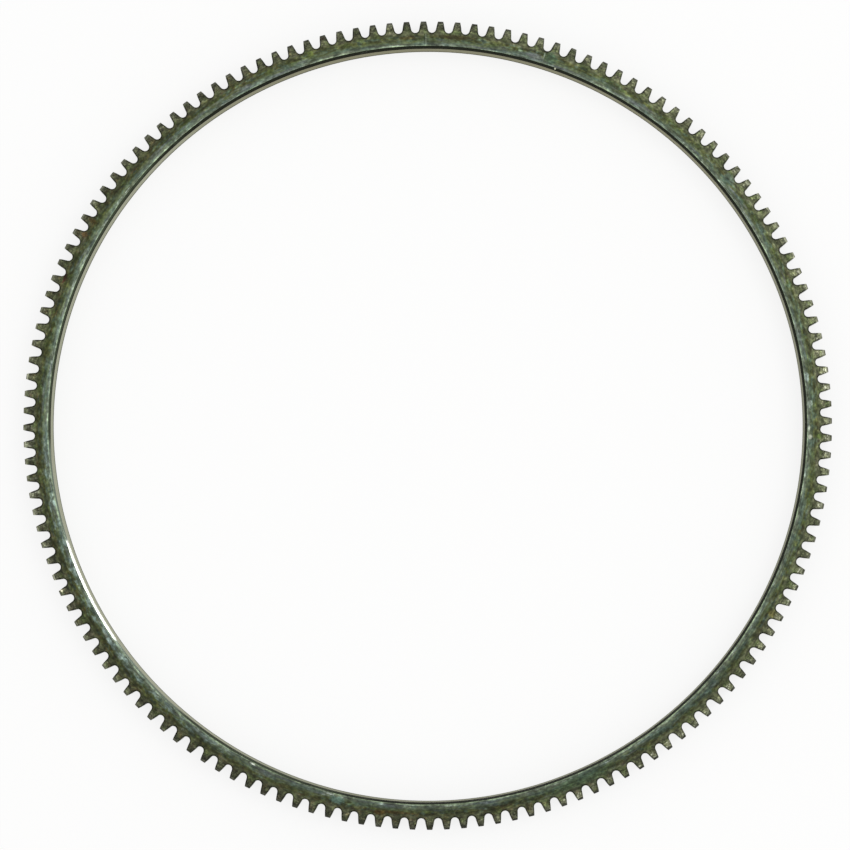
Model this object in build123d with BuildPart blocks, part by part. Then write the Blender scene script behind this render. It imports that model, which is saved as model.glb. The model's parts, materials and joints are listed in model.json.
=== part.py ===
from build123d import *
import os
from math import acos, cos, pi, radians, sin, tan

# Flywheel ring gear: one steel hoop with teeth all round its outside, which the starter pinion drives.
# It is shrunk onto the rim of the flywheel by its bore. Millimetres throughout.
# The origin is the middle of the back face, +Z is the axis, and one tooth is centred on +X.

# Driving dimensions
tooth_count = 148
teeth_per_inch = 12  # diametral pitch, teeth for each inch of pitch diameter
pressure_angle = 12.0  # degrees, at the pitch circle
clearance_share = 0.157  # gap under a meshing pinion's tip, as a share of the addendum
tooth_thinning = 0.265  # taken off each tooth's thickness, for backlash with the pinion
face_width = 12.7  # length of the teeth along the axis, the ring's whole thickness
rim_wall = 5.95  # solid hoop between the tooth roots and the bore
bore_chamfer = 0.7  # at both ends of the bore
lead_in_chamfer = 0.8  # across the tooth tips, on the side where the pinion enters
back_tip_chamfer = 0.4  # across the tooth tips, on the back face

# Circles of the gear: full-depth teeth, one addendum above the pitch circle
addendum = IN / teeth_per_inch
root_clearance = clearance_share * addendum
pitch_radius = tooth_count * addendum / 2
base_radius = pitch_radius * cos(radians(pressure_angle))
tip_radius = pitch_radius + addendum
root_radius = pitch_radius - addendum - root_clearance
bore_radius = root_radius - rim_wall

# Half of the angle that one tooth space spans where its flanks meet the base circle
tooth_pitch = 2 * pi / tooth_count
tooth_thickness = pitch_radius * tooth_pitch / 2 - tooth_thinning
involute_at_pitch = tan(radians(pressure_angle)) - radians(pressure_angle)
space_half_angle = tooth_pitch / 2 - tooth_thickness / (2 * pitch_radius) - involute_at_pitch


# A point of the involute flank, where roll is the length unwound as a share of the base radius
def flank_point(roll):
    reach = space_half_angle + roll
    x = base_radius * (cos(reach) + roll * sin(reach))
    y = base_radius * (sin(reach) - roll * cos(reach))
    return x, y


# The way that the flank runs at that point
def flank_direction(roll):
    reach = space_half_angle + roll
    return cos(reach), sin(reach)


# The circle that touches both flanks of a space there: the radius of its centre, and its own
def touching_circle(roll):
    reach = space_half_angle + roll
    return base_radius / cos(reach), base_radius * (tan(reach) - roll)


# The roll at which that circle is as deep as the root, found by halving
shallow_roll = tan(radians(pressure_angle))
deep_roll = 0.0
for _ in range(40):
    root_roll = (shallow_roll + deep_roll) / 2
    centre_radius, root_round_radius = touching_circle(root_roll)
    if centre_radius - root_round_radius > root_radius:
        shallow_roll = root_roll
    else:
        deep_roll = root_roll

# The cutter's profile runs out past the tips by the root clearance
crest_roll = tan(acos(base_radius / (tip_radius + root_clearance)))

# The root's full round is cut as this many short flats, so that 148 of them stay light
root_flats = 6

# One tooth space, centred on +X: two involute flanks, with the round between them at the root
with BuildSketch() as tooth_space:
    with BuildLine():
        flank = Spline(
            flank_point(root_roll),
            flank_point(crest_roll),
            tangents=[flank_direction(root_roll), flank_direction(crest_roll)],
        )
        other_flank = mirror(flank, about=Plane.XZ)
        root_round = ThreePointArc(flank @ 0, (root_radius, 0), other_flank @ 0, mode=Mode.PRIVATE)
        Polyline(*[root_round @ (flat / root_flats) for flat in range(root_flats + 1)])
        Line(flank @ 1, other_flank @ 1)
    make_face()

with BuildPart() as ring_gear:
    # Hobbed hoop: a tooth space on each side of the tooth that stands on +X, and so on all round
    with BuildSketch():
        Circle(tip_radius)
        Circle(bore_radius, mode=Mode.SUBTRACT)
        with PolarLocations(0, tooth_count, start_angle=180 / tooth_count):
            add(tooth_space.sketch, mode=Mode.SUBTRACT)
    extrude(amount=face_width)

    # Turned chamfers at 45 degrees: on the tooth tips at both faces, and at both ends of the bore.
    # Each tool's section is a triangle over one corner, and stands clear of it outside the metal.
    with BuildSketch(Plane.XZ):
        for radius, outward, height, upward, size in (
            (tip_radius, 1, face_width, 1, lead_in_chamfer),
            (tip_radius, 1, 0, -1, back_tip_chamfer),
            (bore_radius, -1, face_width, 1, bore_chamfer),
            (bore_radius, -1, 0, -1, bore_chamfer),
        ):
            with BuildLine():
                Polyline(
                    (radius - 2 * outward * size, height + upward * size),
                    (radius + outward * size, height - 2 * upward * size),
                    (radius + outward * size, height + upward * size),
                    close=True,
                )
            make_face()
    revolve(axis=Axis.Z, mode=Mode.SUBTRACT)

ring_gear.part.label = "ring_gear"

os.makedirs("parts", exist_ok=True)
export_step(ring_gear.part, "parts/ring_gear.step")

print(f"Outside diameter {2 * tip_radius:.2f} mm, bore {2 * bore_radius:.2f} mm")
print(f"Root round radius {root_round_radius:.2f} mm, tooth thickness {tooth_thickness:.2f} mm")
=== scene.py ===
import json
import math

import bmesh
import bpy
from mathutils import Matrix, Vector, noise


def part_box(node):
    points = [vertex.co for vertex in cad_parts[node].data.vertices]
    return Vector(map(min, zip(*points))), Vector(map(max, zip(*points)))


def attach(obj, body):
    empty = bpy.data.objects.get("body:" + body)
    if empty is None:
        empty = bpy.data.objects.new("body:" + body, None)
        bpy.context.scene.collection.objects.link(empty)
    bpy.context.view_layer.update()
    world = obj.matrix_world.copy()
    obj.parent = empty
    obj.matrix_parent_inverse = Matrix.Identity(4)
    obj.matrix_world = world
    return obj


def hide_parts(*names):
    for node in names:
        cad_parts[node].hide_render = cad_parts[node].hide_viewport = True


# Flywheel ring gear: the finished looks of the toothed steel hoop, on a plain white studio floor

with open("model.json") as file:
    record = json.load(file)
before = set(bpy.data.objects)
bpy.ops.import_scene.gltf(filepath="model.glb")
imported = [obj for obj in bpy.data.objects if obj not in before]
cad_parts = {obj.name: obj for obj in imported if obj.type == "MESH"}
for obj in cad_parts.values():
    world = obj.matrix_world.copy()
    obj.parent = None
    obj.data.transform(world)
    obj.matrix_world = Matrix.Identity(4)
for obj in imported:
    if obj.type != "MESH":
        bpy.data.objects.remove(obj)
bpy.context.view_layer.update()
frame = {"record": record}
mm = 0.001
sameSpot = 0.001  # in millimetres; vertices nearer to each other than this are one
noiseShift = 7.3  # from one noise's seed to the next, so that no two patterns are alike
print("Frame loaded")

# The hoop and its teeth, in millimetres where the name gives no other unit
ringSizes = {
    "toothCount": 148,
    "pressureAngleDegrees": 12.0,
    "clearanceShare": 0.157,  # of the addendum
    "toothThinning": 0.265,
    "boreChamfer": 0.7,
    "leadInChamfer": 0.8,
    "backTipChamfer": 0.4,
    "edgeBreak": 0.08,  # the burr brushed off every corner of the teeth
    "boreEdgeBreak": 0.03,
    "outlineBand": 0.6,  # strip of each face along the tooth outline, where oxide gathers
    "rootSpans": 6,  # in half of the round at a root
    "flankSpans": 3,
    "tipSpans": 1,  # in half a tooth tip
    "boreSpans": 4,  # in one tooth pitch
    "sharpCornerDegrees": 25.0,  # corners sharper than this are broken
    "tipOutlineWeight": 0.12,  # how much of that oxide the tip's edge has; the flanks and roots have it all
}

# Where the chamfer of the bore is uneven, in millimetres where the name gives no other unit
chamferWear = {
    "widening": -0.03,  # all round
    "offCentre": 0.144,  # how far the turned chamfer stands off the ring's centre
    "offCentreAzimuthDegrees": 75.5,
    "jaws": 3,  # of the chuck that held the ring
    "jawAzimuthDegrees": 64.0,
    "lobes": 0.055,  # how much narrower it is at a jaw
    "waviness": 0.05,
    "wavesPerMillimetre": 0.15,
    "bruise": 0.14,  # how much wider it is in the dented stretch
    "ragged": 0.16,
    "dentsPerMillimetre": 0.9,
    "raggedAzimuthDegrees": 208.0,
    "raggedHalfWidthDegrees": 14.0,
}

boreMount = [mount for mount in frame["record"]["mounts"] if mount["name"] == "bore"][0]
ringLow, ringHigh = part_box("ring_gear")
tipRadius = ringHigh[0] / mm
faceHeight = ringHigh[2] / mm
boreRadius = boreMount["dims"]["r_mm"]

# Circles of the gear
toothPitch = 2 * math.pi / ringSizes["toothCount"]
addendum = tipRadius / (ringSizes["toothCount"] / 2 + 1)
pitchRadius = tipRadius - addendum
rootRadius = pitchRadius - addendum * (1 + ringSizes["clearanceShare"])
toothZone = rootRadius - 0.5  # the teeth and their roots lie outside this radius
pressureAngle = math.radians(ringSizes["pressureAngleDegrees"])
baseRadius = pitchRadius * math.cos(pressureAngle)

# Half the angle of a tooth at the base circle, and of a space there
toothThickness = pitchRadius * toothPitch / 2 - ringSizes["toothThinning"]
toothHalfAngle = toothThickness / (2 * pitchRadius) + math.tan(pressureAngle) - pressureAngle
spaceHalfAngle = toothPitch / 2 - toothHalfAngle


def flankPoint(roll):
    turn = toothHalfAngle - (roll - math.atan(roll))
    radius = baseRadius * math.sqrt(1 + roll * roll)
    return Vector((radius * math.cos(turn), radius * math.sin(turn), 0))


def rootCircle(roll):
    # the circle that touches both flanks of a space at this roll: its centre's radius and its own
    reach = spaceHalfAngle + roll
    return baseRadius / math.cos(reach), baseRadius * (math.tan(reach) - roll)


def findRootRoll():
    # halving, until that circle is as deep as the root
    shallow, deep = math.tan(pressureAngle), 0.0
    for _ in range(40):
        roll = (shallow + deep) / 2
        centreRadius, ownRadius = rootCircle(roll)
        if centreRadius - ownRadius > rootRadius:
            shallow = roll
        else:
            deep = roll
    return roll


def toothOutline(bm):
    # half a pitch first, from the middle of a space to the middle of the tooth on +X, then its mirror image
    halfPitch = Matrix.Rotation(toothPitch / 2, 3, "Z")
    rootRoll = findRootRoll()
    tipRoll = math.tan(math.acos(baseRadius / tipRadius))
    centreRadius, ownRadius = rootCircle(rootRoll)
    roundCentre = halfPitch @ Vector((centreRadius, 0, 0))
    rootMiddle = halfPitch @ Vector((rootRadius, 0, 0))
    foot = flankPoint(rootRoll)
    turn = (foot - roundCentre).xy.angle_signed((rootMiddle - roundCentre).xy)
    start = bm.verts.new(rootMiddle)
    arc = bmesh.ops.spin(
        bm, geom=[start], cent=roundCentre, axis=(0, 0, 1), angle=turn, steps=ringSizes["rootSpans"]
    )
    last = [item for item in arc["geom_last"] if isinstance(item, bmesh.types.BMVert)][0]
    for span in range(1, ringSizes["flankSpans"] + 1):
        roll = rootRoll + (tipRoll - rootRoll) * span / ringSizes["flankSpans"]
        last = bmesh.ops.extrude_vert_indiv(bm, verts=[last])["verts"][0]
        last.co = flankPoint(roll)
    tipTurn = -math.atan2(last.co.y, last.co.x)
    bmesh.ops.spin(
        bm, geom=[last], cent=(0, 0, 0), axis=(0, 0, 1), angle=tipTurn, steps=ringSizes["tipSpans"]
    )
    bmesh.ops.mirror(
        bm, geom=bm.verts[:] + bm.edges[:], matrix=Matrix.Identity(4), merge_dist=sameSpot, axis="Y"
    )

    # down both sides to the bore, and along it
    bottom = max(bm.verts, key=lambda vert: math.atan2(vert.co.y, vert.co.x))
    other = min(bm.verts, key=lambda vert: math.atan2(vert.co.y, vert.co.x))
    corner = bmesh.ops.extrude_vert_indiv(bm, verts=[bottom])["verts"][0]
    corner.co = halfPitch @ Vector((boreRadius, 0, 0))
    arc = bmesh.ops.spin(
        bm, geom=[corner], cent=(0, 0, 0), axis=(0, 0, 1), angle=-toothPitch, steps=ringSizes["boreSpans"]
    )
    last = [item for item in arc["geom_last"] if isinstance(item, bmesh.types.BMVert)][0]
    bm.edges.new((last, other))
    bmesh.ops.contextual_create(bm, geom=bm.edges[:])


def onCut(face):
    # a face of the two radial cuts between one tooth's piece of the hoop and the next
    turns = [abs(math.atan2(vert.co.y, vert.co.x)) for vert in face.verts]
    return min(turns) > toothPitch / 2 - 1e-5


def buildToothPiece():
    bm = bmesh.new()
    toothOutline(bm)
    raised = bmesh.ops.extrude_face_region(bm, geom=bm.faces[:])["geom"]
    raised = [item for item in raised if isinstance(item, bmesh.types.BMVert)]
    bmesh.ops.translate(bm, verts=raised, vec=(0, 0, faceHeight))
    bmesh.ops.recalc_face_normals(bm, faces=bm.faces[:])

    # chamfers over the tip, at the lead-in side and at the back
    for height, upward, size in (
        (faceHeight, 1, ringSizes["leadInChamfer"]),
        (0, -1, ringSizes["backTipChamfer"]),
    ):
        cut = bmesh.ops.bisect_plane(
            bm,
            geom=bm.verts[:] + bm.edges[:] + bm.faces[:],
            dist=1e-4,
            plane_co=(tipRadius - size, 0, height),
            plane_no=(1, 0, upward),
            clear_outer=True,
        )
        rim = [item for item in cut["geom_cut"] if isinstance(item, bmesh.types.BMEdge)]
        bmesh.ops.contextual_create(bm, geom=rim)
    bmesh.ops.recalc_face_normals(bm, faces=bm.faces[:])

    # chamfers at both ends of the bore, whose own edges stay sharp but for a hair
    boreRims = []
    for edge in bm.edges:
        onBore = all(abs(vert.co.xy.length - boreRadius) < sameSpot for vert in edge.verts)
        level = edge.verts[0].co.z == edge.verts[1].co.z
        if onBore and level:
            boreRims.append(edge)
    bmesh.ops.bevel(
        bm,
        geom=boreRims,
        offset=ringSizes["boreChamfer"],
        offset_type="OFFSET",
        affect="EDGES",
        segments=1,
        profile=0.5,
        material=-1,
    )

    # every remaining corner is broken
    toothCorners, boreCorners = [], []
    for edge in bm.edges:
        if len(edge.link_faces) == 2 and not any(onCut(face) for face in edge.link_faces):
            if edge.calc_face_angle(0) > math.radians(ringSizes["sharpCornerDegrees"]):
                outside = edge.verts[0].co.xy.length > toothZone
                (toothCorners if outside else boreCorners).append(edge)
    for corners, size in (
        (toothCorners, ringSizes["edgeBreak"]),
        (boreCorners, ringSizes["boreEdgeBreak"]),
    ):
        bmesh.ops.bevel(
            bm,
            geom=corners,
            offset=size,
            offset_type="OFFSET",
            affect="EDGES",
            segments=1,
            profile=0.5,
            material=-1,
        )
    bmesh.ops.delete(bm, geom=[face for face in bm.faces if onCut(face)], context="FACES_ONLY")

    # a strip along the outline of both faces, with a weight that fades inwards
    outline = bm.verts.layers.float.new("outline")
    flatArea = 20.0  # square millimetres, which no other level face has
    flats = [face for face in bm.faces if abs(face.normal.z) > 0.999 and face.calc_area() > flatArea]
    for face in flats:
        for vert in face.verts:
            if vert.co.xy.length > tipRadius - 1.5 * ringSizes["leadInChamfer"]:
                vert[outline] = ringSizes["tipOutlineWeight"]
            elif vert.co.xy.length > toothZone:
                vert[outline] = 1.0
    bmesh.ops.inset_region(bm, faces=flats, thickness=ringSizes["outlineBand"], use_boundary=False)
    for vert in {vert for face in flats for vert in face.verts}:
        vert[outline] = 0.0

    # what lies on a cut goes back onto it exactly, so that one tooth's piece meets the next
    nearCut = toothPitch / 2 - 0.001
    for vert in bm.verts:
        turn = math.atan2(vert.co.y, vert.co.x)
        if vert.is_boundary and abs(turn) > nearCut:
            exact = math.copysign(toothPitch / 2, turn)
            radius = vert.co.xy.length
            vert.co.x, vert.co.y = radius * math.cos(exact), radius * math.sin(exact)
    return bm


def buildRing():
    bm = buildToothPiece()
    print("One tooth:", len(bm.faces), "faces")
    copies = ringSizes["toothCount"] - 1
    bmesh.ops.spin(
        bm,
        geom=bm.verts[:] + bm.edges[:] + bm.faces[:],
        cent=(0, 0, 0),
        axis=(0, 0, 1),
        angle=toothPitch * copies,
        steps=copies,
        use_duplicate=True,
    )
    bmesh.ops.remove_doubles(bm, verts=bm.verts[:], dist=4 * sameSpot)
    wearChamfer(bm)
    bmesh.ops.recalc_face_normals(bm, faces=bm.faces[:])
    return bm


def wearChamfer(bm):
    # the front bore chamfer is a little off centre and lobed, and ragged where the ring was knocked
    margin = 0.3
    lowest = faceHeight - margin
    nearRadius = boreRadius + ringSizes["boreChamfer"] - margin
    farRadius = boreRadius + ringSizes["boreChamfer"] + ringSizes["outlineBand"] + margin
    lean = Matrix.Rotation(math.radians(chamferWear["offCentreAzimuthDegrees"]), 3, "Z") @ Vector((1, 0, 0))
    for vert in bm.verts:
        radius = vert.co.xy.length
        if vert.co.z < lowest or not nearRadius < radius < farRadius:
            continue
        outward = Vector((vert.co.x, vert.co.y, 0)) / radius
        azimuth = math.degrees(math.atan2(vert.co.y, vert.co.x)) % 360
        away = abs(azimuth - chamferWear["raggedAzimuthDegrees"]) / chamferWear["raggedHalfWidthDegrees"]
        dented = max(0.0, 1 - away * away)
        shift = chamferWear["widening"] + chamferWear["offCentre"] * outward.dot(lean)
        fromJaw = math.radians(azimuth - chamferWear["jawAzimuthDegrees"])
        shift -= chamferWear["lobes"] * math.cos(chamferWear["jaws"] * fromJaw)
        shift += chamferWear["waviness"] * noise.noise(vert.co * chamferWear["wavesPerMillimetre"])
        dents = chamferWear["ragged"] * noise.noise(vert.co * chamferWear["dentsPerMillimetre"])
        shift += dented * (chamferWear["bruise"] + dents)
        vert.co += outward * shift


def finishRing(bm, materials):
    # the materials come in this order: faces, bore chamfers, bore wall, teeth
    wallZone = boreRadius + 0.06
    chamferZone = boreRadius + 2.0
    for face in bm.faces:
        radius = face.calc_center_median().xy.length
        level = abs(face.normal.z)
        face.smooth = level < 0.9999
        if level > 0.98:
            face.material_index = 0
        elif radius < wallZone and level < 0.1:
            face.material_index = 2
        elif radius < chamferZone:
            face.material_index = 1
        else:
            face.material_index = 3
    bmesh.ops.scale(bm, verts=bm.verts[:], vec=(mm, mm, mm))
    mesh = bpy.data.meshes.new("toothedHoop")
    bm.to_mesh(mesh)
    bm.free()
    for material in materials:
        mesh.materials.append(material)
    piece = bpy.data.objects.new("toothedHoop", mesh)
    bpy.context.scene.collection.objects.link(piece)
    normals = piece.modifiers.new("flatFaces", "WEIGHTED_NORMAL")
    normals.mode = "FACE_AREA"
    normals.weight = 100
    return piece


def hexToLinear(code):
    channels = [int(code[i:i + 2], 16) / 255 for i in (1, 3, 5)]
    return [c / 12.92 if c <= 0.04045 else ((c + 0.055) / 1.055) ** 2.4 for c in channels] + [1.0]


def addNode(tree, kind, inputs=None, **settings):
    # an input is given a value, or another node's output to be linked to
    node = tree.nodes.new(kind)
    for name, value in settings.items():
        setattr(node, name, value)
    for name, value in (inputs or {}).items():
        if isinstance(value, bpy.types.NodeSocket):
            tree.links.new(value, node.inputs[name])
        else:
            node.inputs[name].default_value = value
    return node


def newMaterial(name):
    material = bpy.data.materials.new(name)
    material.use_nodes = True
    tree = material.node_tree
    return material, tree, tree.nodes["Principled BSDF"]


def ringPlaces(tree):
    # places in millimetres: the point itself, its radius, turn from the bottom in radians and height, and
    # the ring unrolled, with the length round the bore, the radius and the height as its axes
    point = addNode(tree, "ShaderNodeTexCoord").outputs["Object"]
    point = addNode(tree, "ShaderNodeVectorMath", {0: point, "Scale": 1 / mm}, operation="SCALE").outputs[0]
    axes = addNode(tree, "ShaderNodeSeparateXYZ", {0: point}).outputs
    flat = addNode(tree, "ShaderNodeCombineXYZ", {0: axes[0], 1: axes[1]}).outputs[0]
    radius = addNode(tree, "ShaderNodeVectorMath", {0: flat}, operation="LENGTH").outputs["Value"]
    down = addNode(tree, "ShaderNodeMath", {0: axes[1], 1: -1.0}, operation="MULTIPLY").outputs[0]
    turn = addNode(tree, "ShaderNodeMath", {0: axes[0], 1: down}, operation="ARCTAN2").outputs[0]
    length = addNode(tree, "ShaderNodeMath", {0: turn, 1: boreRadius}, operation="MULTIPLY").outputs[0]
    unrolled = addNode(tree, "ShaderNodeCombineXYZ", {0: length, 1: radius, 2: axes[2]}).outputs[0]
    return {"point": point, "radius": radius, "turn": turn, "height": axes[2], "unrolled": unrolled}


def ringNoise(tree, places, along, across, seed, detail=3.0, through=None):
    # noise whose grains have these lengths along the ring, across it and through it, in millimetres
    grains = addNode(
        tree,
        "ShaderNodeMapping",
        {
            "Vector": places["unrolled"],
            "Location": (seed * noiseShift, 0, 0),
            "Scale": (1 / along, 1 / across, 1 / (through or across)),
        },
    ).outputs[0]
    return addNode(
        tree, "ShaderNodeTexNoise", {"Vector": grains, "Scale": 1.0, "Detail": detail, "Roughness": 0.6}
    ).outputs[0]


def waveRound(tree, places, azimuthDegrees, turns):
    # cosine round the ring, highest at that azimuth
    shifted = addNode(
        tree,
        "ShaderNodeMath",
        {0: places["turn"], 1: math.radians(90 + azimuthDegrees)},
        operation="SUBTRACT",
    ).outputs[0]
    shifted = addNode(
        tree, "ShaderNodeMath", {0: shifted, 1: float(turns)}, operation="MULTIPLY"
    ).outputs[0]
    return addNode(tree, "ShaderNodeMath", {0: shifted}, operation="COSINE").outputs[0]


def sectorMask(tree, places, azimuthDegrees, halfWidthDegrees, fadeDegrees):
    # 1 in that stretch of the ring, 0 past its fades
    wave = waveRound(tree, places, azimuthDegrees, 1)
    return addNode(
        tree,
        "ShaderNodeMapRange",
        {
            0: wave,
            1: math.cos(math.radians(halfWidthDegrees + fadeDegrees)),
            2: math.cos(math.radians(halfWidthDegrees)),
        },
        interpolation_type="SMOOTHSTEP",
    ).outputs[0]


def radiusMask(tree, places, inner, outer, fade):
    # 1 between these radii, 0 past their fades
    middle = (inner + outer) / 2
    away = addNode(
        tree, "ShaderNodeMath", {0: places["radius"], 1: middle}, operation="SUBTRACT"
    ).outputs[0]
    away = addNode(tree, "ShaderNodeMath", {0: away}, operation="ABSOLUTE").outputs[0]
    return addNode(
        tree,
        "ShaderNodeMapRange",
        {0: away, 1: (outer - inner) / 2, 2: (outer - inner) / 2 + fade, 3: 1.0, 4: 0.0},
        interpolation_type="SMOOTHSTEP",
    ).outputs[0]


def toothRandom(tree, places, seed):
    # a random share for each tooth
    index = addNode(
        tree,
        "ShaderNodeMath",
        {0: places["turn"], 1: 1 / toothPitch, 2: -math.pi / 2 / toothPitch},
        operation="MULTIPLY_ADD",
    ).outputs[0]
    index = addNode(tree, "ShaderNodeMath", {0: index}, operation="ROUND").outputs[0]
    index = addNode(
        tree,
        "ShaderNodeMath",
        {0: index, 1: float(ringSizes["toothCount"])},
        operation="FLOORED_MODULO",
    ).outputs[0]
    seedStep = 0.37  # not whole, so that another seed gives other shares
    index = addNode(tree, "ShaderNodeMath", {0: index, 1: seed * seedStep}, operation="ADD").outputs[0]
    return addNode(tree, "ShaderNodeTexWhiteNoise", {"W": index}, noise_dimensions="1D").outputs["Value"]


# Edge of a mark, in shares of the fall from its middle to twice its size
markEdge = {"ragged": 0.8, "outer": -0.05, "inner": 0.3}


def markMask(tree, places, azimuthDegrees, radius, halfLength, halfWidth, ragged):
    # an oval on the face, whose ragged edge comes from a noise
    azimuth = math.radians(azimuthDegrees)
    oval = addNode(
        tree,
        "ShaderNodeMapping",
        {
            "Vector": places["point"],
            "Location": (radius * math.cos(azimuth), radius * math.sin(azimuth), 0),
            "Rotation": (0, 0, azimuth),
            "Scale": (2 * halfWidth, 2 * halfLength, 1000),
        },
        vector_type="TEXTURE",
    ).outputs[0]
    near = addNode(
        tree, "ShaderNodeTexGradient", {"Vector": oval}, gradient_type="SPHERICAL"
    ).outputs["Fac"]
    near = addNode(
        tree, "ShaderNodeMath", {0: ragged, 1: -markEdge["ragged"], 2: near}, operation="MULTIPLY_ADD"
    ).outputs[0]
    return addNode(
        tree,
        "ShaderNodeMapRange",
        {0: near, 1: markEdge["outer"], 2: markEdge["inner"]},
        interpolation_type="SMOOTHSTEP",
    ).outputs[0]


def paint(tree, colour, code, share, strength=1.0):
    # that much of the colour with this code over the colour so far
    share = addNode(tree, "ShaderNodeMath", {0: share, 1: strength}, operation="MULTIPLY").outputs[0]
    return addNode(
        tree, "ShaderNodeMix", {0: share, 6: colour, 7: hexToLinear(code)}, data_type="RGBA"
    ).outputs[2]


faceFinish = {
    # colour by radius in millimetres, from the bore's chamfer to the tooth tips
    "bands": [
        (148.9, "#90a182"),
        (149.5, "#585e4f"),
        (150.4, "#576149"),
        (151.4, "#4c5230"),
        (152.6, "#424627"),
        (153.6, "#52573f"),
        (155.2, "#4d5139"),
        (156.1, "#52553f"),
        (157.2, "#63664f"),
        (158.75, "#6e7263"),
    ],
    "bandGrain": (7.0, 3.0),  # of the noise that lets the bands wander
    "bandWobble": 2.6,
    "markGrain": (0.8, 0.8),  # of the ragged edges of single marks
    "toothTone": 0.3,  # how far one tooth differs from the next, in stops
    "toothToneFade": 2.5,
    "outlineDarkening": 3.4,  # stops, along the tooth outline, where the grains leave these shares of it
    "outlineGrain": {"grain": (1.2, 1.2), "noise": (0.3, 0.6), "share": (0.25, 1.0)},
    "metallic": 0.75,
    "roughness": {"grain": (1.5, 1.0), "noise": (0.35, 0.65), "share": (0.36, 0.56)},
    "turningGrain": (40.0, 0.16),
    "pitGrain": (0.7, 0.7),
    "pitDepth": 1.4,  # against a turning mark
    "bump": {"Strength": 0.35, "Distance": 0.00004},
}

# Mottling of lightness, in stops: grain along and across the ring in millimetres, and radii
mottling = {
    "clouds": {"grain": (5.0, 2.6), "strength": 0.75, "radii": (148.0, 160.0), "fade": 1.0},
    "streaks": {"grain": (13.0, 0.6), "strength": 0.5, "radii": (148.0, 151.2), "fade": 1.6},
    "hoopGrain": {"grain": (1.4, 1.0), "strength": 0.9, "radii": (148.0, 154.0), "fade": 1.0},
    "rootCurls": {"grain": (2.2, 1.6), "strength": 1.15, "radii": (152.2, 156.0), "fade": 1.2},
    "toothGrain": {"grain": (1.5, 1.3), "strength": 1.0, "radii": (155.2, 160.0), "fade": 1.4},
    "toothFleck": {"grain": (0.65, 0.55), "strength": 1.3, "radii": (155.4, 160.0), "fade": 1.6},
}

# Painted sheen and shade: a slow change of lightness round the ring, in stops, for the radii given, with a
# wave once round and one twice round, each with its azimuth in degrees
slowSheenAndShade = {
    "hoop": {"radii": (148.0, 150.6), "fade": 1.4, "once": (0.3, 134.0), "twice": (0.15, 353.0)},
    "rootBand": {"radii": (152.0, 153.8), "fade": 1.4, "once": (0.28, 67.0), "twice": (0.02, 0.0)},
    "teeth": {"radii": (155.2, 160.0), "fade": 1.4, "once": (0.25, 6.0), "twice": (0.22, 354.0)},
}
# and stretches that are lighter or darker still, with one fade for all their radii
toneRunFade = 0.8
toneRuns = [
    {"radii": (157.2, 160.0), "sector": (258.0, 18.0, 16.0), "stops": -0.9},
    {"radii": (155.7, 160.0), "sector": (114.0, 24.0, 14.0), "stops": -0.5},
    {"radii": (155.0, 160.0), "sector": (284.0, 6.0, 16.0), "stops": 0.3},
    {"radii": (155.0, 160.0), "sector": (194.0, 6.0, 16.0), "stops": 0.22},
    {"radii": (155.0, 160.0), "sector": (45.0, 6.0, 16.0), "stops": 0.22},
    {"radii": (155.0, 160.0), "sector": (344.0, 6.0, 16.0), "stops": -0.2},
    {"radii": (157.6, 160.0), "sector": (195.0, 8.0, 16.0), "stops": 0.4},
    {"radii": (154.8, 156.4), "sector": (195.0, 8.0, 14.0), "stops": -0.6},
    {"radii": (154.8, 156.6), "sector": (102.0, 20.0, 24.0), "stops": 0.38},
    {"radii": (154.6, 155.4), "sector": (284.0, 8.0, 16.0), "stops": -0.4},
    {"radii": (151.2, 152.4), "sector": (300.0, 22.0, 16.0), "stops": -0.45},
    {"radii": (152.6, 153.6), "sector": (137.0, 8.0, 14.0), "stops": -0.35},
]

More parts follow.
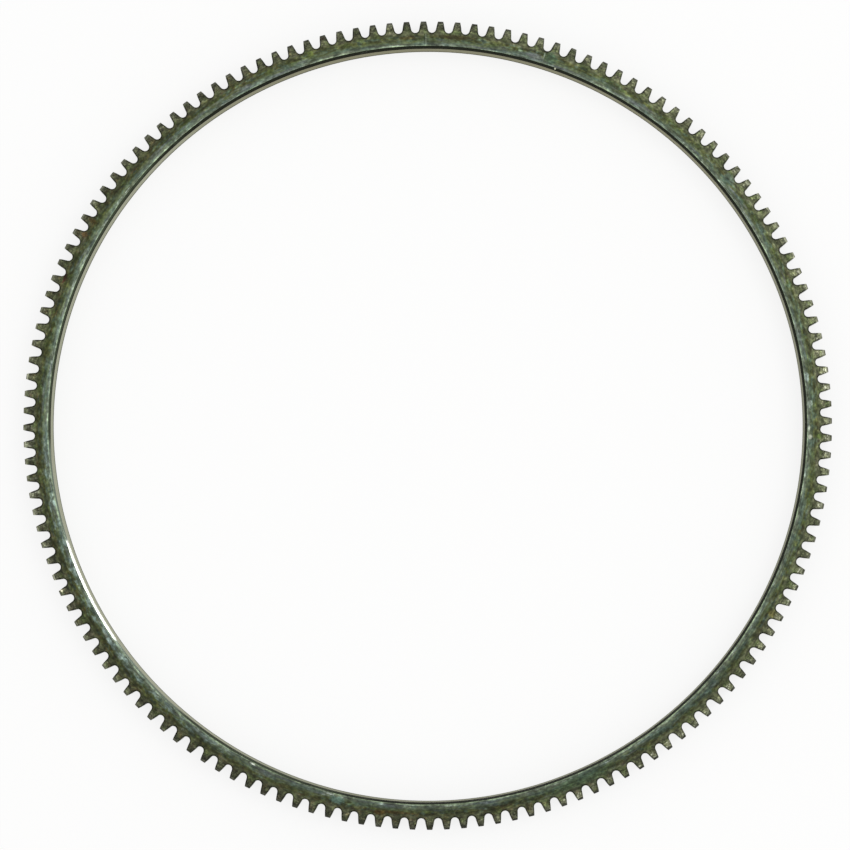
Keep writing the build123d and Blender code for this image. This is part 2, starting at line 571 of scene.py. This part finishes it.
# Patches over the bands: grain along and across the ring, noise from and to, radii, strength, and an
# azimuth range or a share of the teeth where the patch isn't everywhere
faceStains = {
    "brownTemper": {
        "grain": (9.0, 1.8), "noise": (0.5, 0.64), "radii": (152.2, 153.5), "fade": 0.9,
        "colour": "#403a24", "strength": 0.5,
    },
    "blueTemper": {
        "grain": (14.0, 2.5), "noise": (0.48, 0.66), "radii": (149.6, 151.6), "fade": 1.2,
        "colour": "#4b5f5c", "strength": 0.5,
    },
    "lilacSheen": {
        "grain": (11.0, 1.5), "noise": (0.54, 0.68), "radii": (149.6, 151.2), "fade": 0.9,
        "colour": "#6b7078", "strength": 0.5,
    },
    "mossyBand": {
        "grain": (6.0, 1.6), "noise": (0.38, 0.54), "radii": (152.3, 154.0), "fade": 0.7,
        "colour": "#3d421f", "strength": 0.6, "sector": (165.0, 50.0, 30.0),
    },
    "greenTemper": {
        "grain": (4.5, 2.4), "noise": (0.5, 0.64), "radii": (151.5, 157.5), "fade": 1.5,
        "colour": "#46562a", "strength": 0.5,
    },
    "brownSpeckle": {
        "grain": (2.2, 1.5), "noise": (0.52, 0.66), "radii": (152.4, 158.0), "fade": 1.0,
        "colour": "#504329", "strength": 0.55, "sector": (205.0, 75.0, 50.0),
    },
    "tealSpeckle": {
        "grain": (3.4, 1.6), "noise": (0.5, 0.64), "radii": (149.5, 152.6), "fade": 1.0,
        "colour": "#4d665f", "strength": 0.4,
    },
    "violetTemper": {
        "grain": (3.4, 2.0), "noise": (0.54, 0.7), "radii": (153.5, 157.5), "fade": 1.5,
        "colour": "#635c53", "strength": 0.35,
    },
    "brightFlecks": {
        "grain": (3.2, 0.35), "noise": (0.55, 0.68), "radii": (149.3, 149.7), "fade": 0.35,
        "colour": "#aab7ad", "strength": 0.6,
    },
    "knockedPatches": {
        "grain": (4.0, 1.8), "noise": (0.5, 0.6), "radii": (149.4, 151.2), "fade": 0.8,
        "colour": "#869a94", "strength": 0.6, "sector": (210.0, 20.0, 14.0),
    },
    "paleTips": {
        "grain": (1.1, 0.8), "noise": (0.52, 0.62), "radii": (156.4, 158.8), "fade": 1.2,
        "colour": "#a9ab98", "strength": 0.65, "sector": (340.0, 45.0, 30.0), "toothShare": 0.5,
    },
    "scratchedTeeth": {
        "grain": (0.4, 5.0), "noise": (0.52, 0.64), "radii": (155.0, 158.6), "fade": 1.0,
        "colour": "#8f9282", "strength": 0.7, "sector": (188.0, 6.0, 8.0),
    },
    "rust": {
        "grain": (2.6, 1.2), "noise": (0.64, 0.74), "radii": (152.4, 154.4), "fade": 0.8,
        "colour": "#402a14", "strength": 0.6,
    },
    "darkPits": {
        "grain": (0.9, 0.7), "noise": (0.6, 0.74), "radii": (151.5, 158.5), "fade": 0.8,
        "colour": "#1c2012", "strength": 0.6,
    },
}

# Single marks that can be told apart: azimuth in degrees, radius, half length and half width in millimetres
faceMarks = {
    "weldLine": {"place": (89.66, 151.6), "half": (0.22, 2.6), "colour": "#9aa592", "strength": 0.4},
    "weldShadow": {"place": (89.9, 152.4), "half": (0.25, 1.6), "colour": "#2c3422", "strength": 0.45},
    "secondWeldGreen": {"place": (70.8, 151.7), "half": (2.4, 2.6), "colour": "#47624e", "strength": 0.5},
    "secondWeldGrey": {"place": (73.0, 150.7), "half": (2.6, 1.4), "colour": "#717678", "strength": 0.5},
    "secondWeldLine": {"place": (71.85, 151.4), "half": (0.2, 2.6), "colour": "#7d857c", "strength": 0.6},
    "darkRoot": {"place": (72.0, 153.9), "half": (1.6, 0.5), "colour": "#20261a", "strength": 0.7},
    "burntPatch": {"place": (85.4, 152.7), "half": (8.0, 1.0), "colour": "#35301a", "strength": 0.8},
    "rustBand": {"place": (92.2, 152.3), "half": (4.0, 0.8), "colour": "#4c4429", "strength": 0.6},
    "mossyFoot": {"place": (107.0, 152.9), "half": (1.3, 1.3), "colour": "#5c6a32", "strength": 0.6},
    "redTip": {"place": (104.65, 157.8), "half": (1.0, 1.1), "colour": "#3f2c24", "strength": 0.7},
    "paleFleck": {"place": (75.5, 151.6), "half": (0.9, 0.35), "colour": "#94ad8f", "strength": 0.7},
    "paleBlotch": {"place": (357.6, 150.2), "half": (0.9, 0.8), "colour": "#a9ae9c", "strength": 0.8},
    "paleBlotchBelow": {"place": (359.0, 149.8), "half": (0.8, 0.5), "colour": "#a2ab99", "strength": 0.7},
    "paleSmear": {"place": (2.6, 150.3), "half": (1.5, 0.9), "colour": "#98a596", "strength": 0.6},
    "palePatchAbove": {"place": (6.6, 150.0), "half": (1.7, 0.9), "colour": "#8fa099", "strength": 0.6},
    "greenFoot": {"place": (357.8, 153.7), "half": (1.1, 1.3), "colour": "#4c5f25", "strength": 0.6},
    "brownFoot": {"place": (330.8, 154.1), "half": (1.6, 1.4), "colour": "#5a5428", "strength": 0.6},
    "greenStretch": {"place": (293.0, 151.4), "half": (14.0, 2.4), "colour": "#456049", "strength": 0.4},
    "darkSmear": {"place": (284.3, 154.6), "half": (0.7, 2.4), "colour": "#2f2c17", "strength": 0.65},
    "darkFoot": {"place": (279.7, 153.5), "half": (1.8, 1.1), "colour": "#2b2d15", "strength": 0.65},
    "sootyFoot": {"place": (274.5, 152.9), "half": (2.4, 0.9), "colour": "#22281a", "strength": 0.6},
    "rustLine": {"place": (264.7, 152.4), "half": (9.5, 0.55), "colour": "#4c3e1c", "strength": 0.75},
    "rustPatch": {"place": (262.5, 153.1), "half": (2.2, 0.9), "colour": "#4b3917", "strength": 0.8},
    "tealPatch": {"place": (256.2, 151.2), "half": (2.8, 1.4), "colour": "#73968a", "strength": 0.5},
    "whiteFleck": {"place": (254.9, 149.5), "half": (1.5, 0.35), "colour": "#b3bdb2", "strength": 0.8},
    "whiteFleckLeft": {"place": (242.4, 149.4), "half": (1.2, 0.3), "colour": "#c4c9bd", "strength": 0.7},
    "scarAbove": {"place": (216.8, 150.9), "half": (1.0, 0.9), "colour": "#94a59c", "strength": 0.75},
    "scarBelow": {"place": (214.0, 150.8), "half": (1.5, 0.9), "colour": "#94a8a2", "strength": 0.75},
    "footScratch": {"place": (230.9, 153.0), "half": (0.8, 0.5), "colour": "#8c927e", "strength": 0.5},
    "paleTip": {"place": (203.8, 157.9), "half": (1.2, 1.2), "colour": "#e6dfb0", "strength": 0.95},
    "palePoint": {"place": (206.4, 158.2), "half": (0.4, 0.4), "colour": "#b9b79c", "strength": 0.8},
    "tipNotch": {"place": (325.9, 158.3), "half": (0.7, 0.5), "colour": "#1f2219", "strength": 0.8},
    "flankNotch": {"place": (323.2, 156.4), "half": (0.4, 1.5), "colour": "#23271d", "strength": 0.7},
    "leftNotch": {"place": (301.9, 158.4), "half": (0.45, 0.45), "colour": "#1d2018", "strength": 0.8},
    "paleNotch": {"place": (301.5, 157.5), "half": (0.5, 0.45), "colour": "#a9ad98", "strength": 0.7},
    "darkNotch": {"place": (189.7, 150.4), "half": (0.5, 0.7), "colour": "#2c382f", "strength": 0.7},
    "rustyRoot": {"place": (157.6, 153.7), "half": (2.4, 0.5), "colour": "#442015", "strength": 0.75},
    "rustyFoot": {"place": (150.5, 154.0), "half": (1.2, 1.4), "colour": "#5b4527", "strength": 0.7},
    "orangeFoot": {"place": (148.2, 154.0), "half": (1.0, 1.6), "colour": "#5c4a1f", "strength": 0.6},
    "blueFoot": {"place": (38.6, 152.6), "half": (2.6, 2.0), "colour": "#48605a", "strength": 0.4},
}


def grainShare(tree, places, grains, seed):
    # a noise between two levels, turned to a share between two others
    return addNode(
        tree,
        "ShaderNodeMapRange",
        {
            0: ringNoise(tree, places, *grains["grain"], seed),
            1: grains["noise"][0],
            2: grains["noise"][1],
            3: grains["share"][0],
            4: grains["share"][1],
        },
    ).outputs[0]


def addLight(tree, light, source, strength, shift, mask):
    # one more share of the lightness. Adding each at once keeps few values waiting, and so the shader small
    part = addNode(
        tree, "ShaderNodeMath", {0: source, 1: strength, 2: shift}, operation="MULTIPLY_ADD"
    ).outputs[0]
    return addNode(tree, "ShaderNodeMath", {0: part, 1: mask, 2: light}, operation="MULTIPLY_ADD").outputs[0]


def turnedFaceSteel():
    # Medium-carbon steel, turned and then induction hardened: the heat leaves bands of olive and blue-grey
    # oxide round the teeth, thin enough that the metal's sheen shows through.
    material, tree, surface = newMaterial("turnedFaceSteel")
    places = ringPlaces(tree)

    # bands by radius, whose edges wander
    wobble = ringNoise(tree, places, *faceFinish["bandGrain"], 1)
    wobble = addNode(
        tree,
        "ShaderNodeMath",
        {0: wobble, 1: faceFinish["bandWobble"], 2: -faceFinish["bandWobble"] / 2},
        operation="MULTIPLY_ADD",
    ).outputs[0]
    radius = addNode(tree, "ShaderNodeMath", {0: places["radius"], 1: wobble}, operation="ADD").outputs[0]
    bands = faceFinish["bands"]
    share = addNode(tree, "ShaderNodeMapRange", {0: radius, 1: bands[0][0], 2: bands[-1][0]}).outputs[0]
    ramp = addNode(tree, "ShaderNodeValToRGB", {0: share})
    stops = ramp.color_ramp.elements
    while len(stops) < len(bands):
        stops.new(0.5)
    for stop, (place, code) in zip(stops, bands):
        stop.position = (place - bands[0][0]) / (bands[-1][0] - bands[0][0])
        stop.color = hexToLinear(code)
    colour = ramp.outputs[0]

    # patches of temper colour, flecks and pits
    for seed, stain in enumerate(faceStains.values(), start=2):
        patch = addNode(
            tree,
            "ShaderNodeMapRange",
            {0: ringNoise(tree, places, *stain["grain"], seed), 1: stain["noise"][0], 2: stain["noise"][1]},
        ).outputs[0]
        masks = [radiusMask(tree, places, *stain["radii"], stain["fade"])]
        if "sector" in stain:
            masks.append(sectorMask(tree, places, *stain["sector"]))
        if "toothShare" in stain:
            masks.append(
                addNode(
                    tree,
                    "ShaderNodeMath",
                    {0: toothRandom(tree, places, seed), 1: stain["toothShare"]},
                    operation="LESS_THAN",
                ).outputs[0]
            )
        for mask in masks:
            patch = addNode(tree, "ShaderNodeMath", {0: patch, 1: mask}, operation="MULTIPLY").outputs[0]
        colour = paint(tree, colour, stain["colour"], patch, stain["strength"])
    ragged = ringNoise(tree, places, *faceFinish["markGrain"], 18)
    for mark in faceMarks.values():
        spot = markMask(tree, places, *mark["place"], *mark["half"], ragged)
        colour = paint(tree, colour, mark["colour"], spot, mark["strength"])

    # lightness in stops: mottling, each tooth's own tone, the painted sheen and shade that change slowly
    # round the ring. A noise keeps mostly within a quarter of 0.5, so four times its strength reaches the
    # strength
    light = 0.0
    for seed, grain in enumerate(mottling.values(), start=20):
        mask = radiusMask(tree, places, *grain["radii"], grain["fade"])
        strength = grain["strength"]
        mottle = ringNoise(tree, places, *grain["grain"], seed, 2.0)
        light = addLight(tree, light, mottle, 4 * strength, -2 * strength, mask)
    onTooth = addNode(
        tree,
        "ShaderNodeMapRange",
        {0: places["radius"], 1: toothZone, 2: toothZone + faceFinish["toothToneFade"]},
        interpolation_type="SMOOTHSTEP",
    ).outputs[0]
    tone = toothRandom(tree, places, 30)
    light = addLight(tree, light, tone, faceFinish["toothTone"] * 2, -faceFinish["toothTone"], onTooth)
    # painted sheen and shade, changing slowly round the ring
    for tones in slowSheenAndShade.values():
        mask = radiusMask(tree, places, *tones["radii"], tones["fade"])
        for turns, (strength, azimuth) in enumerate((tones["once"], tones["twice"]), start=1):
            light = addLight(tree, light, waveRound(tree, places, azimuth, turns), strength, 0.0, mask)
    for run in toneRuns:
        mask = radiusMask(tree, places, *run["radii"], toneRunFade)
        light = addLight(tree, light, sectorMask(tree, places, *run["sector"]), run["stops"], 0.0, mask)

    # last the dark line of oxide along the tooth outline
    outline = addNode(tree, "ShaderNodeAttribute", attribute_name="outline").outputs["Fac"]
    broken = grainShare(tree, places, faceFinish["outlineGrain"], 40)
    light = addLight(tree, light, outline, -faceFinish["outlineDarkening"], 0.0, broken)
    light = addNode(tree, "ShaderNodeMath", {0: 2.0, 1: light}, operation="POWER").outputs[0]
    colour = addNode(tree, "ShaderNodeHueSaturation", {"Value": light, "Color": colour}).outputs[0]
    tree.links.new(colour, surface.inputs["Base Color"])
    surface.inputs["Metallic"].default_value = faceFinish["metallic"]

    # oxide is duller than the metal between its grains
    dull = grainShare(tree, places, faceFinish["roughness"], 41)
    tree.links.new(dull, surface.inputs["Roughness"])

    # turning marks and pits
    marks = ringNoise(tree, places, *faceFinish["turningGrain"], 42, 2.0)
    pits = ringNoise(tree, places, *faceFinish["pitGrain"], 43, 4.0)
    relief = addNode(
        tree, "ShaderNodeMath", {0: pits, 1: faceFinish["pitDepth"], 2: marks}, operation="MULTIPLY_ADD"
    ).outputs[0]
    bump = addNode(tree, "ShaderNodeBump", {**faceFinish["bump"], "Height": relief})
    tree.links.new(bump.outputs[0], surface.inputs["Normal"])
    return material


# The bore's chamfer and wall. The chamfer is painted dark, in place of the dark surroundings that it
# mirrors, and that dark runs a little way down the wall.
boreFinish = {
    "chamferDark": "#181c0f",
    "chamferRoughness": 0.22,
    "chamferSpecular": 0.15,
    "darkBandHeight": 9.95,  # where it ends on the wall, in millimetres above the back face
    "darkBandWaviness": 1.6,
    "deepDarkBand": {"sector": (303.0, 24.0, 24.0), "drop": 1.9},  # where it reaches further down
    "glintGrain": (4.0, 0.8),
    "glintRaggedness": 1.4,
    # painted highlight where the low strip flashes in the chamfer, from its faint fringe and its spread to
    # its white core: azimuth, half width, fade
    "glintFringe": {"sector": (195.0, 32.0, 48.0), "colour": "#3d4535", "metallic": 0.3},
    "glintSpread": {"sector": (206.0, 20.0, 6.0), "colour": "#6c776b", "metallic": 0.6},
    "glintCore": {"sector": (205.8, 6.5, 3.0), "colour": "#f0f2ec", "metallic": 1.0},
    "nick": {"place": (69.7, 148.7), "half": (0.34, 0.36), "colour": "#c4c6ad"},
    "nickGrain": (0.5, 0.5),
    "ringGrain": (60.0, 50.0, 0.35),  # the tool's rings on the wall
    "blotchGrain": (14.0, 6.0),
    "wallDark": "#676b5a",
    "wallLight": "#878c79",
    "grazingTint": "#e4e2d0",  # keeps the wall from turning white where it is seen almost edge on
    "wiped": {"sector": (180.0, 40.0, 40.0), "colour": "#b4b9a9", "strength": 0.6},
    "oil": {"sector": (80.0, 28.0, 30.0), "colour": "#7a7658", "strength": 0.6},
    "shade": {"height": 2.4, "fade": 0.8, "strength": 0.6},  # painted shade, darker below this height, where the wall meets the floor
    "wallRoughness": 0.38,
    "bump": {"Strength": 0.3, "Distance": 0.00003},
}


def paintChamferHighlight(tree, places, colour, metallic):
    # the painted highlight on the chamfer, from its ragged fringe inwards
    raggedness = boreFinish["glintRaggedness"]
    ragged = addNode(
        tree,
        "ShaderNodeMath",
        {0: ringNoise(tree, places, *boreFinish["glintGrain"], 50), 1: raggedness, 2: -raggedness / 2},
        operation="MULTIPLY_ADD",
    ).outputs[0]
    for glint in (boreFinish["glintFringe"], boreFinish["glintSpread"], boreFinish["glintCore"]):
        glintShare = sectorMask(tree, places, *glint["sector"])
        glintShare = addNode(tree, "ShaderNodeMath", {0: glintShare, 1: ragged}, operation="ADD").outputs[0]
        glintShare = addNode(tree, "ShaderNodeMapRange", {0: glintShare, 1: 0.3, 2: 0.7}).outputs[0]
        colour = paint(tree, colour, glint["colour"], glintShare)
        metallic = addNode(tree, "ShaderNodeMix", {0: glintShare, 2: metallic, 3: glint["metallic"]}).outputs[0]
    return colour, metallic


def boreChamferSteel():
    # The chamfer is painted near black, in place of the dark surroundings that it mirrors, with a painted
    # highlight on one side, where the low strip flashes in it as well.
    material, tree, surface = newMaterial("boreChamferReflections")
    places = ringPlaces(tree)
    colour, metallic = paintChamferHighlight(tree, places, hexToLinear(boreFinish["chamferDark"]), 0.0)
    nick = boreFinish["nick"]
    ragged = ringNoise(tree, places, *boreFinish["nickGrain"], 51)
    spot = markMask(tree, places, *nick["place"], *nick["half"], ragged)
    colour = paint(tree, colour, nick["colour"], spot)
    tree.links.new(colour, surface.inputs["Base Color"])
    tree.links.new(metallic, surface.inputs["Metallic"])
    surface.inputs["Roughness"].default_value = boreFinish["chamferRoughness"]
    surface.inputs["Specular IOR Level"].default_value = boreFinish["chamferSpecular"]
    return material


def turnedBoreSteel():
    # Turned steel under thin oil, the palest surface: fine rings from the tool, a dark band along its upper
    # edge, painted shade at its foot and the chamfer's painted highlight spilling over its edge.
    material, tree, surface = newMaterial("turnedBoreSteel")
    places = ringPlaces(tree)
    along, across, through = boreFinish["ringGrain"]
    rings = ringNoise(tree, places, along, across, 52, through=through)
    blotch = ringNoise(tree, places, *boreFinish["blotchGrain"], 53)
    light = addNode(tree, "ShaderNodeMath", {0: rings, 1: blotch}, operation="ADD").outputs[0]
    share = addNode(tree, "ShaderNodeMapRange", {0: light, 1: 0.7, 2: 1.3}).outputs[0]
    colour = paint(tree, hexToLinear(boreFinish["wallDark"]), boreFinish["wallLight"], share)
    for stretch in (boreFinish["wiped"], boreFinish["oil"]):
        mask = sectorMask(tree, places, *stretch["sector"])
        colour = paint(tree, colour, stretch["colour"], mask, stretch["strength"])
    # painted shade along the foot of the wall, where it meets the floor, on the colour and on the grazing
    # tint
    shade = boreFinish["shade"]
    shaded = addNode(
        tree,
        "ShaderNodeMapRange",
        {0: places["height"], 1: shade["height"] + shade["fade"], 2: shade["height"] - shade["fade"]},
    ).outputs[0]
    colour = paint(tree, colour, boreFinish["chamferDark"], shaded, shade["strength"])
    tint = hexToLinear(boreFinish["grazingTint"])
    tint = paint(tree, tint, boreFinish["chamferDark"], shaded, shade["strength"])

    # dark above a wavy line, but for the side with the painted highlight
    wavy = places["height"]
    deep = boreFinish["deepDarkBand"]
    lowered = sectorMask(tree, places, *deep["sector"])
    for source, strength in ((blotch, boreFinish["darkBandWaviness"]), (lowered, deep["drop"])):
        wavy = addNode(
            tree, "ShaderNodeMath", {0: source, 1: strength, 2: wavy}, operation="MULTIPLY_ADD"
        ).outputs[0]
    scale = addNode(
        tree,
        "ShaderNodeMapRange",
        {0: wavy, 1: boreFinish["darkBandHeight"] + 0.4, 2: boreFinish["darkBandHeight"] + 1.2},
    ).outputs[0]
    glintSide = sectorMask(tree, places, *boreFinish["glintSpread"]["sector"])
    kept = addNode(tree, "ShaderNodeMath", {0: 1.0, 1: glintSide}, operation="SUBTRACT").outputs[0]
    scale = addNode(tree, "ShaderNodeMath", {0: scale, 1: kept}, operation="MULTIPLY").outputs[0]
    colour = paint(tree, colour, boreFinish["chamferDark"], scale, 0.92)
    tint = paint(tree, tint, boreFinish["chamferDark"], scale, 0.95)

    # the chamfer's painted highlight goes a little way over the edge
    glintCore = boreFinish["glintCore"]
    spilledGlint = addNode(
        tree,
        "ShaderNodeMapRange",
        {0: places["height"], 1: boreFinish["darkBandHeight"] - 1.5, 2: boreFinish["darkBandHeight"] + 1.0},
    ).outputs[0]
    mask = sectorMask(tree, places, *glintCore["sector"])
    spilledGlint = addNode(tree, "ShaderNodeMath", {0: spilledGlint, 1: mask}, operation="MULTIPLY").outputs[0]
    colour = paint(tree, colour, glintCore["colour"], spilledGlint)
    tree.links.new(colour, surface.inputs["Base Color"])
    tree.links.new(tint, surface.inputs["Specular Tint"])
    surface.inputs["Metallic"].default_value = 1.0
    surface.inputs["Roughness"].default_value = boreFinish["wallRoughness"]
    bump = addNode(tree, "ShaderNodeBump", {**boreFinish["bump"], "Height": rings})
    tree.links.new(bump.outputs[0], surface.inputs["Normal"])
    return material


toothFinish = {
    "dark": "#3a3c26",
    "light": "#a6a892",
    "feedGrain": (3.0, 3.0, 0.5),  # the marks that the hob's feed leaves across the flanks
    "feedStrength": 0.4,
    "patchGrain": 1.8,
    "toothShare": (0.3, 0.9),  # least and most of the light colour on one tooth
    "edge": "#2a2b1a",
    "edgeWidth": 0.22,
    "edgeStrength": 0.6,
    "metallic": 0.8,
    "roughness": 0.42,
    "bump": {"Strength": 0.4, "Distance": 0.00008},
    # painted light and shade on the front chamfer across the tips: stops, and the azimuth where it is
    # lightest
    "chamferLightOnce": (0.6, 110.0),
    "chamferLightTwice": (1.25, 7.0),
    "chamferLightShift": -0.5,
}


def hobbedToothSteel():
    # Hobbed flanks and chamfered tips: feed marks across the tooth, olive oxide in patches.
    material, tree, surface = newMaterial("hobbedToothSteel")
    places = ringPlaces(tree)
    along, across, through = toothFinish["feedGrain"]
    marks = ringNoise(tree, places, along, across, 60, 2.0, through)
    patch = ringNoise(tree, places, toothFinish["patchGrain"], toothFinish["patchGrain"], 61, 4.0)
    light = addNode(
        tree,
        "ShaderNodeMath",
        {0: marks, 1: toothFinish["feedStrength"], 2: patch},
        operation="MULTIPLY_ADD",
    ).outputs[0]
    share = addNode(tree, "ShaderNodeMapRange", {0: light, 1: 0.56, 2: 0.84}).outputs[0]
    tone = toothRandom(tree, places, 62)
    least, most = toothFinish["toothShare"]
    tone = addNode(
        tree, "ShaderNodeMath", {0: tone, 1: most - least, 2: least}, operation="MULTIPLY_ADD"
    ).outputs[0]
    share = addNode(tree, "ShaderNodeMath", {0: tone, 1: share}, operation="MULTIPLY").outputs[0]
    colour = paint(tree, hexToLinear(toothFinish["dark"]), toothFinish["light"], share)

    # painted light and shade on the front chamfer, changing slowly round the ring
    stops = toothFinish["chamferLightShift"]
    for turns, key in enumerate(("chamferLightOnce", "chamferLightTwice"), start=1):
        strength, azimuth = toothFinish[key]
        wave = waveRound(tree, places, azimuth, turns)
        stops = addNode(
            tree, "ShaderNodeMath", {0: wave, 1: strength, 2: stops}, operation="MULTIPLY_ADD"
        ).outputs[0]
    foot = faceHeight - ringSizes["leadInChamfer"]
    fade = 0.1
    onChamfer = addNode(
        tree, "ShaderNodeMapRange", {0: places["height"], 1: foot - fade, 2: foot + fade}
    ).outputs[0]
    outer = radiusMask(tree, places, tipRadius - ringSizes["leadInChamfer"], tipRadius + 1, fade)
    onChamfer = addNode(tree, "ShaderNodeMath", {0: onChamfer, 1: outer}, operation="MULTIPLY").outputs[0]
    stops = addNode(tree, "ShaderNodeMath", {0: stops, 1: onChamfer}, operation="MULTIPLY").outputs[0]
    light = addNode(tree, "ShaderNodeMath", {0: 2.0, 1: stops}, operation="POWER").outputs[0]
    colour = addNode(tree, "ShaderNodeHueSaturation", {"Value": light, "Color": colour}).outputs[0]

    # the very edge of the tip is dark
    edge = radiusMask(tree, places, tipRadius - toothFinish["edgeWidth"], tipRadius + 1, 2 * fade)
    colour = paint(tree, colour, toothFinish["edge"], edge, toothFinish["edgeStrength"])
    tree.links.new(colour, surface.inputs["Base Color"])
    surface.inputs["Metallic"].default_value = toothFinish["metallic"]
    surface.inputs["Roughness"].default_value = toothFinish["roughness"]
    bump = addNode(tree, "ShaderNodeBump", {**toothFinish["bump"], "Height": marks})
    tree.links.new(bump.outputs[0], surface.inputs["Normal"])
    return material


# Floor, lamps, world and camera
studio = {
    "floorSize": 8.0,  # metres
    "floorColour": "#fafaf8",
    "floorRoughness": 0.9,
    "floorGlow": 0.82,  # share of plain white that the camera sees, so that the shadow stays light
    "worldColour": "#ffffff",
    "worldStrength": 0.8,
}


def addFloor():
    bm = bmesh.new()
    bmesh.ops.create_grid(bm, x_segments=1, y_segments=1, size=studio["floorSize"] / 2)
    mesh = bpy.data.meshes.new("floor")
    bm.to_mesh(mesh)
    bm.free()
    material, tree, surface = newMaterial("palePaper")
    surface.inputs["Base Color"].default_value = hexToLinear(studio["floorColour"])
    surface.inputs["Roughness"].default_value = studio["floorRoughness"]
    surface.inputs["Specular IOR Level"].default_value = 0.0
    rays = addNode(tree, "ShaderNodeLightPath").outputs
    seen = rays["Is Camera Ray"]
    for kind in ("Is Glossy Ray", "Is Transmission Ray"):
        seen = addNode(tree, "ShaderNodeMath", {0: seen, 1: rays[kind]}, operation="MAXIMUM").outputs[0]
    share = addNode(
        tree, "ShaderNodeMath", {0: seen, 1: studio["floorGlow"]}, operation="MULTIPLY"
    ).outputs[0]
    glow = addNode(tree, "ShaderNodeEmission", {"Strength": 1.0}).outputs[0]
    mix = addNode(tree, "ShaderNodeMixShader", {0: share, 1: surface.outputs[0], 2: glow})
    tree.links.new(mix.outputs[0], tree.nodes["Material Output"].inputs["Surface"])
    mesh.materials.append(material)
    floor = bpy.data.objects.new("floor", mesh)
    bpy.context.scene.collection.objects.link(floor)


lampSettings = {
    "softbox": {
        "azimuthDegrees": 20.0, "elevationDegrees": 66.0, "distance": 2.0,
        "width": 1.1, "height": 1.1, "radiance": 2.0,
    },
    # low strip, opposite the side of the bore's chamfer with the painted highlight, which flashes in its
    # light as well
    "lowStrip": {
        "azimuthDegrees": 28.5, "elevationDegrees": 6.5, "distance": 1.25,
        "width": 0.6, "height": 0.16, "radiance": 5.0,
    },
}


def addLamps():
    for name, lamp in lampSettings.items():
        light = bpy.data.lights.new(name, "AREA")
        light.shape = "RECTANGLE"
        light.size = lamp["width"]
        light.size_y = lamp["height"]
        light.energy = lamp["radiance"] * math.pi * lamp["width"] * lamp["height"]
        azimuth = math.radians(lamp["azimuthDegrees"])
        elevation = math.radians(lamp["elevationDegrees"])
        flat = math.cos(elevation)
        place = Vector((flat * math.cos(azimuth), flat * math.sin(azimuth), math.sin(elevation)))
        holder = bpy.data.objects.new(name, light)
        holder.location = place * lamp["distance"]
        holder.rotation_euler = (-place).to_track_quat("-Z", "Y").to_euler()
        bpy.context.scene.collection.objects.link(holder)


def addWorld():
    world = bpy.data.worlds.new("softSky")
    world.use_nodes = True
    background = world.node_tree.nodes["Background"]
    background.inputs["Color"].default_value = hexToLinear(studio["worldColour"])
    background.inputs["Strength"].default_value = studio["worldStrength"]
    bpy.context.scene.world = world


# The camera looks down the ring's axis from a little to the lower right, as in the photograph
view = {
    "place": (28.8, -41.3, 1363.6),  # millimetres
    "aim": (-0.9, 0.07, 0.0),
    "rollRadians": -0.0076,
    "lens": 145.95,
    "sensorWidth": 36.0,
    "farthest": 50.0,  # metres
}


def addCamera():
    camera = bpy.data.cameras.new("camera")
    camera.lens = view["lens"]
    camera.sensor_width = view["sensorWidth"]
    camera.sensor_fit = "HORIZONTAL"
    camera.clip_end = view["farthest"]
    place = Vector(view["place"]) * mm
    back = (place - Vector(view["aim"]) * mm).normalized()
    up = Vector((-math.sin(view["rollRadians"]), math.cos(view["rollRadians"]), 0))
    right = up.cross(back).normalized()
    up = back.cross(right)
    turn = Matrix((right, up, back)).transposed().to_4x4()
    holder = bpy.data.objects.new("camera", camera)
    holder.matrix_world = Matrix.Translation(place) @ turn
    bpy.context.scene.collection.objects.link(holder)
    bpy.context.scene.camera = holder


materials = [
    turnedFaceSteel(),
    boreChamferSteel(),
    turnedBoreSteel(),
    hobbedToothSteel(),
]
hoop = finishRing(buildRing(), materials)
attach(hoop, "root")
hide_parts("ring_gear")
print("Ring built:", len(hoop.data.polygons), "faces")

addFloor()
addLamps()
addWorld()
addCamera()
bpy.context.scene.view_settings.view_transform = "Standard"
print("Studio set")
